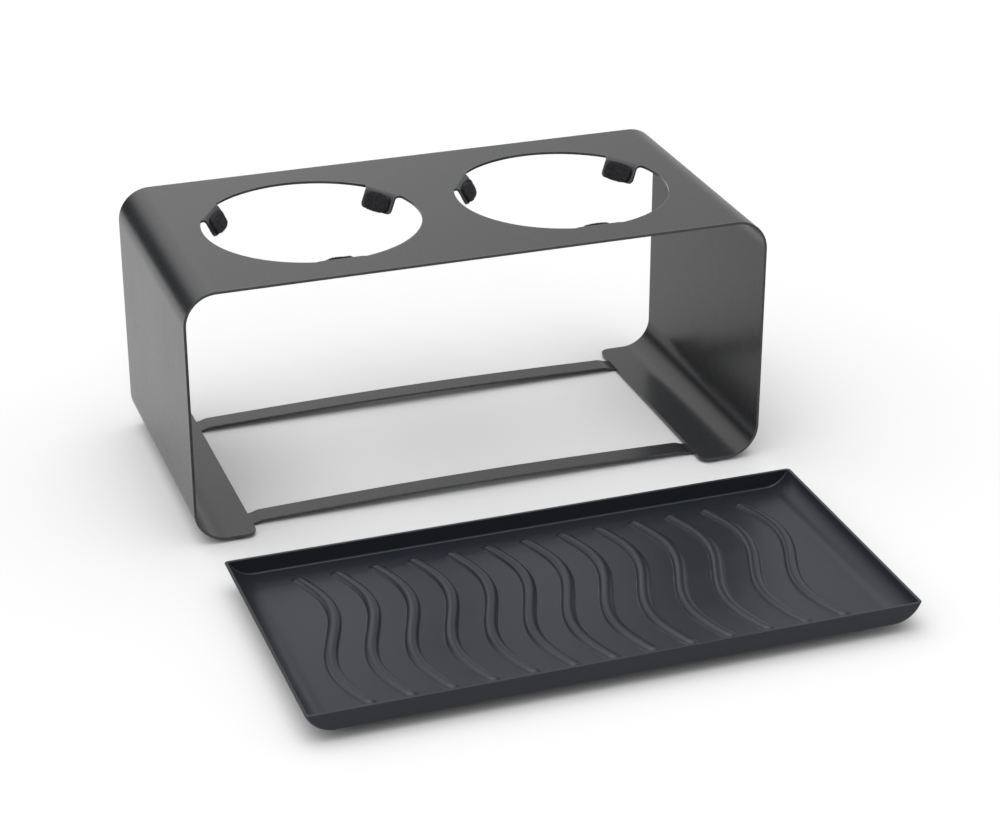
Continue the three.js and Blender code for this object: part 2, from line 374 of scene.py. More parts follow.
@dataclass(frozen=True)
class MouldedPlastic(Finish):
    """Satin moulded plastic: a fine spark-eroded grain, faint blotches and a little rubbing on the edges."""

    blotch_colour: Colour = (0.0108, 0.0122, 0.0156)
    specular: float = 0.3
    gate: tuple[float, float] = (0.0, 0.0)
    gate_radius: float = 1.5 * MM
    gate_line: float = 0.4 * MM
    gate_relief: float = 9.0
    grain: float = 0.3 * MM
    relief: float = 0.008 * MM
    blotch: float = 38 * MM
    blotch_gloss: float = 0.12
    flow: float = 140 * MM
    grain_gloss: float = 0.08
    scuff: float = 5 * MM
    scuff_gain: float = 4.0
    scuff_start: float = 2.3
    scuff_gloss: float = 0.05
    scuff_share: float = 0.15

    def dress(self, graph: Graph, shader: bpy.types.Node, where: Wire) -> None:
        """Sets the shader's sockets.

        Args:
            graph: the material's graph.
            shader: its Principled BSDF node.
            where: the piece's Object coordinates.
        """
        blotches = graph.noise(where, self.blotch, 4.0, 0.6)
        flow = graph.noise(where, self.flow, 2.0)
        grain = graph.noise(where, self.grain, 3.0, 0.6)
        scratches = graph.noise(where, self.scuff, 5.0, 0.7)
        scuffs = graph.clamped(scratches * self.scuff_gain - self.scuff_start)
        parts = graph.node("ShaderNodeSeparateXYZ", None, {0: where})
        gate_x, gate_y = (graph.out(parts, i) - self.gate[i] for i in range(2))
        gate_distance = graph.math("SQRT", gate_x * gate_x + gate_y * gate_y)
        gate = 1.0 - graph.clamped(abs(gate_distance - self.gate_radius) / self.gate_line)
        colour = graph.blended(0.5 * blotches + 0.5 * flow, opaque(self.colour), opaque(self.blotch_colour))
        graph.feed(shader.inputs["Base Color"], colour)
        gloss = (
            self.blotch_gloss * (blotches - 0.5)
            + self.grain_gloss * (grain - 0.5)
            + self.scuff_gloss * scuffs
        )
        graph.feed(shader.inputs["Roughness"], self.roughness + gloss)
        shader.inputs["Specular IOR Level"].default_value = self.specular
        roughened = (1 - self.scuff_share) * grain + self.scuff_share * scuffs
        self.emboss(graph, shader, roughened - self.gate_relief * gate, self.relief)


@dataclass(frozen=True)
class Felt(Finish):
    """Pressed black felt with a short pile."""

    tuft_colour: Colour = (0.026, 0.026, 0.031)
    tuft: float = 1.5 * MM
    relief: float = 0.4 * MM
    sheen: float = 0.1
    specular: float = 0.1
    tuft_gloss: float = 0.1
    tuft_gain: float = 4.0
    tuft_start: float = 1.5

    def dress(self, graph: Graph, shader: bpy.types.Node, where: Wire) -> None:
        """Sets the shader's sockets.

        Args:
            graph: the material's graph.
            shader: its Principled BSDF node.
            where: the piece's Object coordinates.
        """
        tufts = graph.noise(where, self.tuft, 4.0, 0.7)
        lit = graph.clamped(self.tuft_gain * tufts - self.tuft_start)
        colour = graph.blended(lit, opaque(self.colour), opaque(self.tuft_colour))
        graph.feed(shader.inputs["Base Color"], colour)
        graph.feed(shader.inputs["Roughness"], self.roughness + self.tuft_gloss * (tufts - 0.5))
        shader.inputs["Sheen Weight"].default_value = self.sheen
        shader.inputs["Specular IOR Level"].default_value = self.specular
        self.emboss(graph, shader, tufts, self.relief)


@dataclass(frozen=True)
class Rubber(Finish):
    """Matte black rubber with a dusty bloom."""

    bloom_colour: Colour = (0.045, 0.044, 0.042)
    bloom: float = 4 * MM
    bloom_gloss: float = 0.15
    grain: float = 0.5 * MM
    relief: float = 0.02 * MM

    def dress(self, graph: Graph, shader: bpy.types.Node, where: Wire) -> None:
        """Sets the shader's sockets.

        Args:
            graph: the material's graph.
            shader: its Principled BSDF node.
            where: the piece's Object coordinates.
        """
        bloom = graph.noise(where, self.bloom, 4.0, 0.6)
        grain = graph.noise(where, self.grain, 2.0)
        colour = graph.blended(bloom, opaque(self.colour), opaque(self.bloom_colour))
        graph.feed(shader.inputs["Base Color"], colour)
        graph.feed(shader.inputs["Roughness"], self.roughness + self.bloom_gloss * (bloom - 0.5))
        self.emboss(graph, shader, grain, self.relief)


@dataclass(frozen=True)
class StudioPaper(Finish):
    """The pale paper floor."""

    fibre: float = 3 * MM
    fibre_shade: float = 0.985

    def dress(self, graph: Graph, shader: bpy.types.Node, where: Wire) -> None:
        """Sets the shader's sockets.

        Args:
            graph: the material's graph.
            shader: its Principled BSDF node.
            where: the floor's Object coordinates.
        """
        fibres = graph.noise(where, self.fibre, 4.0)
        tint = graph.blended(fibres, shaded(self.colour, self.fibre_shade), opaque(self.colour))
        graph.feed(shader.inputs["Base Color"], tint)
        shader.inputs["Roughness"].default_value = self.roughness
        shader.inputs["Specular IOR Level"].default_value = 0.0


def middle_of(node: str) -> tuple[float, float]:
    """The x and y of a node's middle."""
    low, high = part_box(node)
    middle = (low + high) / 2
    return middle.x, middle.y


SHEET_COAT = PowderCoat("fine_powder_coat", "powder_coat", (0.012, 0.0125, 0.014), 0.27)
TRAY_PLASTIC = MouldedPlastic("moulded_tray_plastic", "moulded_tray", (0.008, 0.0096, 0.0138), 0.34,
                              gate=middle_of("drip_tray"))
PAD_FELT = Felt("black_felt", "felt", (0.004, 0.004, 0.005), 0.95)
FOOT_RUBBER = Rubber("foot_rubber", "rubber", (0.02, 0.02, 0.02), 0.8)
FLOOR_PAPER = StudioPaper("pale_paper", "", (0.525, 0.525, 0.525), 0.9)


# ---------------------------------------------------------------- Meshes


def spread(first: float, last: float, steps: int) -> list[float]:
    """Evenly spaced values from first to last."""
    return [first + (last - first) * i / steps for i in range(steps + 1)]


def piece_from(name: str, mesh: bpy.types.Mesh, finish: Finish) -> bpy.types.Object:
    """A new smooth-shaded object at the origin.

    Args:
        name: the piece's name.
        mesh: its mesh.
        finish: what it is finished in.

    Returns:
        The object, linked to the scene.
    """
    mesh.name = name
    if not mesh.materials:
        mesh.materials.append(finish.material())
    made = bpy.data.objects.new(name, mesh)
    bpy.context.scene.collection.objects.link(made)
    return made


class Surface:
    """A mesh that is built from grids of points."""

    def __init__(self, *marks: str) -> None:
        """Starts an empty mesh.

        Args:
            marks: the names of the per-point values that it carries.
        """
        self.mesh = bmesh.new()
        self.marks = {name: self.mesh.verts.layers.float.new(name) for name in marks}

    def point(self, place: Vector, **marks: float) -> bmesh.types.BMVert:
        """Adds one point, with its marks' values."""
        made = self.mesh.verts.new(place)
        for name, value in marks.items():
            made[self.marks[name]] = value
        return made

    def face(self, corners: Sequence[bmesh.types.BMVert]) -> None:
        """Adds one smooth face."""
        self.mesh.faces.new(corners).smooth = True

    def grid(self, rows: Sequence[Sequence[bmesh.types.BMVert]], closed: bool = False) -> None:
        """Fills the quads between neighbouring rows of points.

        Args:
            rows: equal rows of points.
            closed: whether each row's last point joins its first.
        """
        for low, high in zip(rows, rows[1:]):
            last = len(low) if closed else len(low) - 1
            for i in range(last):
                j = (i + 1) % len(low)
                self.face([low[i], low[j], high[j], high[i]])

    def finished(self, outward: bool) -> bpy.types.Mesh:
        """Closes the seams and ends the build.

        Args:
            outward: whether the mesh is a closed body whose normals are worked out.

        Returns:
            The plain mesh.
        """
        merge_distance = 0.002 * MM
        bmesh.ops.remove_doubles(self.mesh, verts=self.mesh.verts, dist=merge_distance)
        if outward:
            bmesh.ops.recalc_face_normals(self.mesh, faces=self.mesh.faces)
        made = bpy.data.meshes.new("surface")
        self.mesh.to_mesh(made)
        self.mesh.free()
        return made


def bevelled(piece: bpy.types.Object, width: float, segments: int = 3) -> None:
    """Rounds a piece's sharp edges and keeps its flats flat.

    Args:
        piece: the object.
        width: the rounding's size.
        segments: how many faces it has.
    """
    rounding = piece.modifiers.new("rounding", "BEVEL")
    rounding.width = width
    rounding.segments = segments
    rounding.limit_method = "ANGLE"
    rounding.angle_limit = SHARP_ANGLE
    rounding.miter_outer = "MITER_ARC"
    flats = piece.modifiers.new("flats", "WEIGHTED_NORMAL")
    flats.keep_sharp = True


def thickened(piece: bpy.types.Object, thickness: float) -> None:
    """Gives a sheet its thickness, half to each side.

    Args:
        piece: the object, a sheet's middle surface.
        thickness: the sheet's gauge.
    """
    gauge = piece.modifiers.new("gauge", "SOLIDIFY")
    gauge.thickness = thickness
    gauge.offset = 0.0
    gauge.use_even_offset = True
    gauge.use_quality_normals = True


class GeometryRule:
    """A Geometry Nodes tree with named inputs, which turns one mesh into another."""

    def __init__(self, name: str, sizes: dict[str, float]) -> None:
        """Starts the tree.

        Args:
            name: the tree's name.
            sizes: its inputs and their values.
        """
        self.sizes = sizes
        self.tree = bpy.data.node_groups.new(name, "GeometryNodeTree")
        self.graph = Graph(self.tree)
        self.tree.interface.new_socket("Geometry", in_out="INPUT", socket_type="NodeSocketGeometry")
        self.tree.interface.new_socket("Geometry", in_out="OUTPUT", socket_type="NodeSocketGeometry")
        self.sockets = {
            size: self.tree.interface.new_socket(size, in_out="INPUT", socket_type="NodeSocketFloat")
            for size in sizes
        }
        self.given = self.graph.node("NodeGroupInput")

    def size(self, name: str) -> Wire:
        """One of the tree's inputs."""
        return self.graph.out(self.given, name)

    def mark(self, name: str) -> Wire:
        """A value that the mesh carries at each point."""
        node = self.graph.node("GeometryNodeInputNamedAttribute", {"data_type": "FLOAT"}, {"Name": name})
        return self.graph.out(node)

    def place(self) -> tuple[Wire, Wire, Wire]:
        """The x, y and z of each point."""
        position = self.graph.out(self.graph.node("GeometryNodeInputPosition"))
        parts = self.graph.node("ShaderNodeSeparateXYZ", None, {0: position})
        return tuple(self.graph.out(parts, i) for i in range(3))

    def vector(self, x: Value, y: Value, z: Value) -> Wire:
        """A vector from its three parts."""
        return self.graph.out(self.graph.node("ShaderNodeCombineXYZ", None, {0: x, 1: y, 2: z}))

    def ending(self, geometry: Wire, finish: Finish) -> None:
        """Ends the tree with real faces that have their finish.

        Args:
            geometry: the tree's result.
            finish: what it is finished in.
        """
        real = self.graph.out(self.graph.node("GeometryNodeRealizeInstances", None, {"Geometry": geometry}))
        dressing = {"Geometry": real, "Material": finish.material()}
        dressed = self.graph.out(self.graph.node("GeometryNodeSetMaterial", None, dressing))
        self.graph.node("NodeGroupOutput", None, {"Geometry": dressed})

    def applied(self, mesh: bpy.types.Mesh) -> bpy.types.Mesh:
        """Runs the tree on a mesh.

        Args:
            mesh: what goes in.

        Returns:
            The result as a plain mesh.
        """
        carrier = bpy.data.objects.new("carrier", mesh)
        bpy.context.scene.collection.objects.link(carrier)
        modifier = carrier.modifiers.new("rule", "NODES")
        modifier.node_group = self.tree
        for name, value in self.sizes.items():
            modifier[self.sockets[name].identifier] = value
        graph = bpy.context.evaluated_depsgraph_get()
        result = bpy.data.meshes.new_from_object(carrier.evaluated_get(graph), depsgraph=graph)
        bpy.data.objects.remove(carrier)
        return result


def fitted(piece: bpy.types.Object, body: str, finish: Finish, *nodes: str) -> bpy.types.Object:
    """Lets a finished piece ride on its body and stand for its CAD nodes.

    Args:
        piece: the finished object.
        body: the CAD body's name.
        finish: not used.
        nodes: the CAD nodes that it stands for.

    Returns:
        The object.
    """
    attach(piece, body)
    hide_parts(*nodes)
    log.info("%s: %d points, rides on %s", piece.name, len(piece.data.vertices), body)
    return piece


# ---------------------------------------------------------------- The stand's sheet


@dataclass(frozen=True)
class BowlTab:
    """One of the three tabs that are left standing in a bowl hole and bent down into it."""

    width: float = 30 * MM
    leg: float = 12.5 * MM
    bend_radius: float = 4 * MM
    bend: float = math.radians(62)
    root_fillet: float = 4 * MM
    tip_radius: float = 4 * MM

    @property
    def root_half(self) -> float:
        """Half the root's width, fillets included."""
        return self.width / 2 + self.root_fillet

    @property
    def bend_length(self) -> float:
        """The sheet's length in the bend."""
        return self.bend_radius * self.bend

    @property
    def length(self) -> float:
        """The tab's length from its root to its tip."""
        return self.bend_length + self.leg

    def stations(self) -> list[tuple[float, float]]:
        """Lengths along the tab, each with half the tab's width there.

        Returns:
            The stations from the root to the tip, round the fillets and the tip's corners.
        """
        half = self.width / 2
        turns = spread(0, RIGHT_ANGLE, CORNER_STEPS)
        fillet = self.root_fillet
        root = [(fillet * (1 - math.cos(t)), half + fillet * (1 - math.sin(t))) for t in turns]
        tip_start = self.length - self.tip_radius
        straight = [(along, half) for along in spread(fillet, tip_start, CORNER_STEPS)[1:-1]]
        tip_half = half - self.tip_radius
        tip = [
            (tip_start + self.tip_radius * math.sin(t), tip_half + self.tip_radius * math.cos(t))
            for t in turns
        ]
        return root + straight + tip

    def middle(self, along: float) -> tuple[float, float]:
        """Where the sheet's middle is at a length along the tab.

        Args:
            along: the length from the root.

        Returns:
            How far it reaches into the hole from the root, and how far it drops.
        """
        slope = min(along / self.bend_radius, self.bend)
        straight = max(along - self.bend_length, 0.0)
        reach = self.bend_radius * math.sin(slope) + straight * math.cos(slope)
        drop = self.bend_radius * (1 - math.cos(slope)) + straight * math.sin(slope)
        return reach, drop


@dataclass
class BentSheet:
    """The stand itself: one steel sheet, cut with its holes and tabs and then folded."""

    finish: Finish = SHEET_COAT
    tab: BowlTab = BowlTab()
    thickness: float = 2 * MM
    bend_radius: float = 25 * MM
    toe_radius: float = 8 * MM
    foot_reach: float = 47 * MM
    hole_radius: float = 83 * MM
    edge_band: float = 1 * MM
    cut_rounding: float = 0.45 * MM

    def __post_init__(self) -> None:
        """Takes the overall sizes and the holes' places from the frame."""
        low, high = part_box("stand_sheet")
        rims = [m["pos_m"][0] for m in frame["record"]["mounts"] if m["name"].endswith("_bowl_rim")]
        self.hole_places = sorted(rims)
        self.middle_y = (low.y + high.y) / 2
        self.half_length = (high.x - low.x) / 2
        self.half_depth = (high.y - low.y) / 2
        self.top = high.z
        self.underside = low.z

    @property
    def plate_middle(self) -> float:
        """Height of the middle of the plate's sheet."""
        return self.top - self.thickness / 2

    @property
    def plate_half(self) -> float:
        """Half the length of the plate's flat."""
        return self.half_length - self.bend_radius

    @property
    def fold_radius(self) -> float:
        """The folds' radius at the middle of the sheet."""
        return self.bend_radius - self.thickness / 2

    @property
    def leg_flat(self) -> float:
        """The flat height of a leg between its two folds."""
        return self.top - self.underside - 2 * self.bend_radius

    @property
    def foot_flat(self) -> float:
        """The flat length of a foot, from its fold to the toe."""
        return self.foot_reach - self.bend_radius

    def build(self) -> bpy.types.Object:
        """Cuts, folds and finishes the sheet.

        Returns:
            The finished piece.
        """
        piece = piece_from("bent_sheet", self.folding().applied(self.blank()), self.finish)
        thickened(piece, self.thickness)
        bevelled(piece, self.cut_rounding)
        return fitted(piece, "stand", self.finish, "stand_sheet")

    def blank(self) -> bpy.types.Mesh:
        """The sheet as it is before the four folds, with its tabs already bent.

        Returns:
            The flat mesh at the plate's height.
        """
        surface = Surface(EDGE_MARK)
        for hole_x in self.hole_places:
            self._hole_field(surface, hole_x)
        for side in Side:
            self._leg_strip(surface, side)
        return surface.finished(outward=False)

    def _angles(self) -> list[float]:
        """The directions round a hole in which the plate's grid runs.

        Returns:
            Angles once round, with one at each tab's root corners and each corner of the hole's field.
        """
        root_turn = self._root_turn()
        field_half = self.plate_half / 2
        corner = math.atan2(self.half_depth, field_half)
        near_corner = math.atan2(self.half_depth - self.edge_band, field_half)
        stops = {0.0, math.pi}
        for turn in (corner, near_corner):
            stops.update((turn, math.pi - turn, math.pi + turn, FULL_TURN - turn))
        for place in TabPlace:
            middle = math.radians(place.value) % FULL_TURN
            stops.update((middle - root_turn, middle, middle + root_turn))
        ordered = sorted(stops)
        widest_step = math.radians(2.8)
        angles = []
        for start, end in zip(ordered, [*ordered[1:], FULL_TURN]):
            steps = max(1, math.ceil((end - start) / widest_step))
            angles.extend(spread(start, end, steps)[:-1])
        return angles

    def _root_turn(self) -> float:
        """Half the angle that a tab's root takes of the hole."""
        return math.asin(self.tab.root_half / self.hole_radius)

    def _off_tab(self, angle: float) -> Optional[float]:
        """How far a direction is turned from the tab that it meets.

        Args:
            angle: the direction round the hole.

        Returns:
            The signed angle from the tab's middle, or None where the rim is the round hole.
        """
        for place in TabPlace:
            turn = (angle - math.radians(place.value) + math.pi) % FULL_TURN - math.pi
            if abs(turn) <= self._root_turn() + ANGLE_SLACK:
                return turn
        return None

    def _rim_distance(self, angle: float) -> float:
        """From the hole's centre to its rim, or to the root of the tab that is there."""
        turn = self._off_tab(angle)
        if turn is None:
            return self.hole_radius
        root_distance = math.sqrt(self.hole_radius**2 - self.tab.root_half**2)
        return root_distance / math.cos(turn)

    def _field_distance(self, angle: float) -> float:
        """From the hole's centre to the border of its half of the plate."""
        least = 1e-9
        across = max(abs(math.cos(angle)), least) / (self.plate_half / 2)
        along = max(abs(math.sin(angle)), least) / self.half_depth
        return 1.0 / max(across, along)

    def _hole_field(self, surface: Surface, hole_x: float) -> None:
        """Half of the plate: the grid round one hole, and the hole's tabs.

        Args:
            surface: the mesh that is being built.
            hole_x: the hole's place along the stand.
        """
        shares = (0.0, 0.05, 0.2, 0.45, 0.7, 0.93, 1.0)
        angles = self._angles()
        centre = Vector((hole_x, self.middle_y, self.plate_middle))
        rings = []
        for share in shares:
            ring = []
            for angle in angles:
                rim = self._rim_distance(angle)
                distance = rim + share * (self._field_distance(angle) - rim)
                place = centre + distance * Vector((math.cos(angle), math.sin(angle), 0))
                on_edge = self.half_depth - abs(place.y - self.middle_y) < ON_BORDER
                on_rim = share == 0.0 and self._off_tab(angle) is None
                ring.append(surface.point(place, edge=float(on_edge or on_rim)))
            rings.append(ring)
        surface.grid(rings[::-1], closed=True)
        for place in TabPlace:
            self._tab(surface, centre, math.radians(place.value), angles)

    def _tab(self, surface: Surface, centre: Vector, middle: float, angles: Sequence[float]) -> None:
        """One bent tab, which carries the plate's grid on.

        Args:
            surface: the mesh that is being built.
            centre: the hole's centre, at the middle of the sheet.
            middle: the tab's direction from the hole's centre.
            angles: the directions of the plate's grid.
        """
        near = [(angle - middle + math.pi) % FULL_TURN - math.pi for angle in angles]
        limit = self._root_turn() + ANGLE_SLACK
        shares = sorted(math.tan(turn) / math.tan(self._root_turn()) for turn in near if abs(turn) <= limit)
        root_distance = math.sqrt(self.hole_radius**2 - self.tab.root_half**2)
        turn = Matrix.Rotation(middle, 3, "Z")
        stations = self.tab.stations()
        at_side = 0.999
        rows = []
        for number, (along, half) in enumerate(stations):
            reach, drop = self.tab.middle(along)
            row = []
            for share in shares:
                on_edge = abs(share) > at_side or number == len(stations) - 1
                place = centre + turn @ Vector((root_distance - reach, share * half, -drop))
                row.append(surface.point(place, edge=float(on_edge)))
            rows.append(row)
        surface.grid(rows)

    def _leg_strip(self, surface: Surface, side: Side) -> None:
        """One end of the blank, which becomes a leg and its foot.

        Args:
            surface: the mesh that is being built.
            side: which end.
        """
        field_half = self.plate_half / 2
        corner = math.atan2(self.half_depth, field_half) + ANGLE_SLACK
        turns = [a if a < math.pi else a - FULL_TURN for a in self._angles()]
        offsets = sorted(field_half * math.tan(a) for a in turns if abs(a) <= corner)
        fold = self.fold_radius * RIGHT_ANGLE
        leg_start = self.plate_half + fold
        foot_fold = leg_start + self.leg_flat
        foot_start = foot_fold + fold
        toe = foot_start + self.foot_flat
        fold_steps, leg_steps, foot_steps, toe_steps = 14, 6, 3, 8
        stations = [(s, 0.0) for s in spread(self.plate_half, leg_start, fold_steps)]
        stations += [(s, 0.0) for s in spread(leg_start, foot_fold, leg_steps)[1:]]
        stations += [(s, 0.0) for s in spread(foot_fold, foot_start, fold_steps)[1:]]
        stations += [(s, 0.0) for s in spread(foot_start, toe - self.toe_radius, foot_steps)[1:-1]]
        stations += [
            (toe - self.toe_radius * (1 - math.sin(turn)), self.toe_radius * (1 - math.cos(turn)))
            for turn in spread(0, RIGHT_ANGLE, toe_steps)
        ]
        rows = []
        for length, cut in stations:
            row = []
            for offset in offsets:
                y = offset * (self.half_depth - cut) / self.half_depth
                on_edge = abs(offset) > self.half_depth - ON_BORDER or length > toe - ON_BORDER
                place = Vector((side.value * length, self.middle_y + y, self.plate_middle))
                row.append(surface.point(place, edge=float(on_edge)))
            rows.append(row)
        surface.grid(rows[::-1] if side is Side.RIGHT else rows)

    def folding(self) -> GeometryRule:
        """The press brake: folds both ends of the blank down into legs, and the legs' ends in into feet.

        Returns:
            The rule that folds a blank.
        """
        rule = GeometryRule("fold_sheet", {
            "Plate Half": self.plate_half,
            "Fold Radius": self.fold_radius,
            "Leg Flat": self.leg_flat,
        })
        graph = rule.graph
        x, _, _ = rule.place()
        plate_half = rule.size("Plate Half")
        radius = rule.size("Fold Radius")
        leg_flat = rule.size("Leg Flat")
        length = abs(x)
        fold = radius * RIGHT_ANGLE
        past_plate = graph.math("MAXIMUM", length - plate_half, 0.0)
        first = graph.math("MINIMUM", past_plate / radius, RIGHT_ANGLE)
        down = graph.math("MINIMUM", graph.math("MAXIMUM", past_plate - fold, 0.0), leg_flat)
        past_leg = graph.math("MAXIMUM", past_plate - fold - leg_flat, 0.0)
        second = graph.math("MINIMUM", past_leg / radius, RIGHT_ANGLE)
        inward = graph.math("MAXIMUM", past_leg - fold, 0.0)
        first_out = radius * graph.math("SINE", first)
        second_in = radius * (1.0 - graph.math("COSINE", second))
        folded_x = graph.math("MINIMUM", length, plate_half) + first_out - second_in - inward
        dropped = radius * (1.0 - graph.math("COSINE", first)) + down + radius * graph.math("SINE", second)
        across = graph.math("SIGN", x) * (folded_x - length)
        moved = graph.node("GeometryNodeSetPosition", None, {
            "Geometry": graph.out(rule.given, "Geometry"),
            "Offset": rule.vector(across, 0.0, 0.0 - dropped),
        })
        rule.ending(graph.out(moved), self.finish)
        return rule


# ---------------------------------------------------------------- Straps, pads and feet


@dataclass
class Strap:
    """A flat steel strap that is welded under both feet and arches gently between them."""

    node: str
    toe_x: float
    finish: Finish = SHEET_COAT
    thickness: float = 1.8 * MM
    step_gap: float = 1 * MM
    step_length: float = 9 * MM
    rise: float = 3 * MM
    edge_band: float = 0.8 * MM
    rounding: float = 0.35 * MM

    def underside(self, x: float, tail_low: float) -> float:
        """Height of the strap's underside.

        Args:
            x: the place along the strap.
            tail_low: the underside of its tails.

        Returns:
            The height there: the flat tail, the step up at the toe, then the arch.
        """
        start = self.toe_x - self.step_gap
        share = min(max((start - abs(x)) / self.step_length, 0.0), 1.0)
        run = share * share * (3 - 2 * share)
        arch = self.rise * math.cos(RIGHT_ANGLE * min(abs(x) / start, 1.0))
        return tail_low + (self.thickness + arch) * run

    def build(self) -> bpy.types.Object:
        """Bends the strap.

        Returns:
            The finished piece.
        """
        low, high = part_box(self.node)
        start = self.toe_x - self.step_gap
        arch_steps, rise_steps, tail_steps, width_steps = 24, 10, 3, 4
        half_run = [
            *spread(0, start - self.step_length, arch_steps),
            *spread(start - self.step_length, start, rise_steps)[1:],
            *spread(start, high.x, tail_steps)[1:],
        ]
        places = [-x for x in half_run[:0:-1]] + half_run
        columns = [
            low.y,
            low.y + self.edge_band,
            *spread(low.y, high.y, width_steps)[1:-1],
            high.y - self.edge_band,
            high.y,
        ]
        surface = Surface(EDGE_MARK)
        rows = []
        for x in places:
            z = self.underside(x, low.z) + self.thickness / 2
            row = [surface.point(Vector((x, y, z)), edge=float(y in (low.y, high.y))) for y in columns]
            rows.append(row)
        surface.grid([row[::-1] for row in rows])
        piece = piece_from(f"{self.node}_steel", surface.finished(outward=False), self.finish)
        thickened(piece, self.thickness)
        bevelled(piece, self.rounding)
        return fitted(piece, "stand", self.finish, self.node)


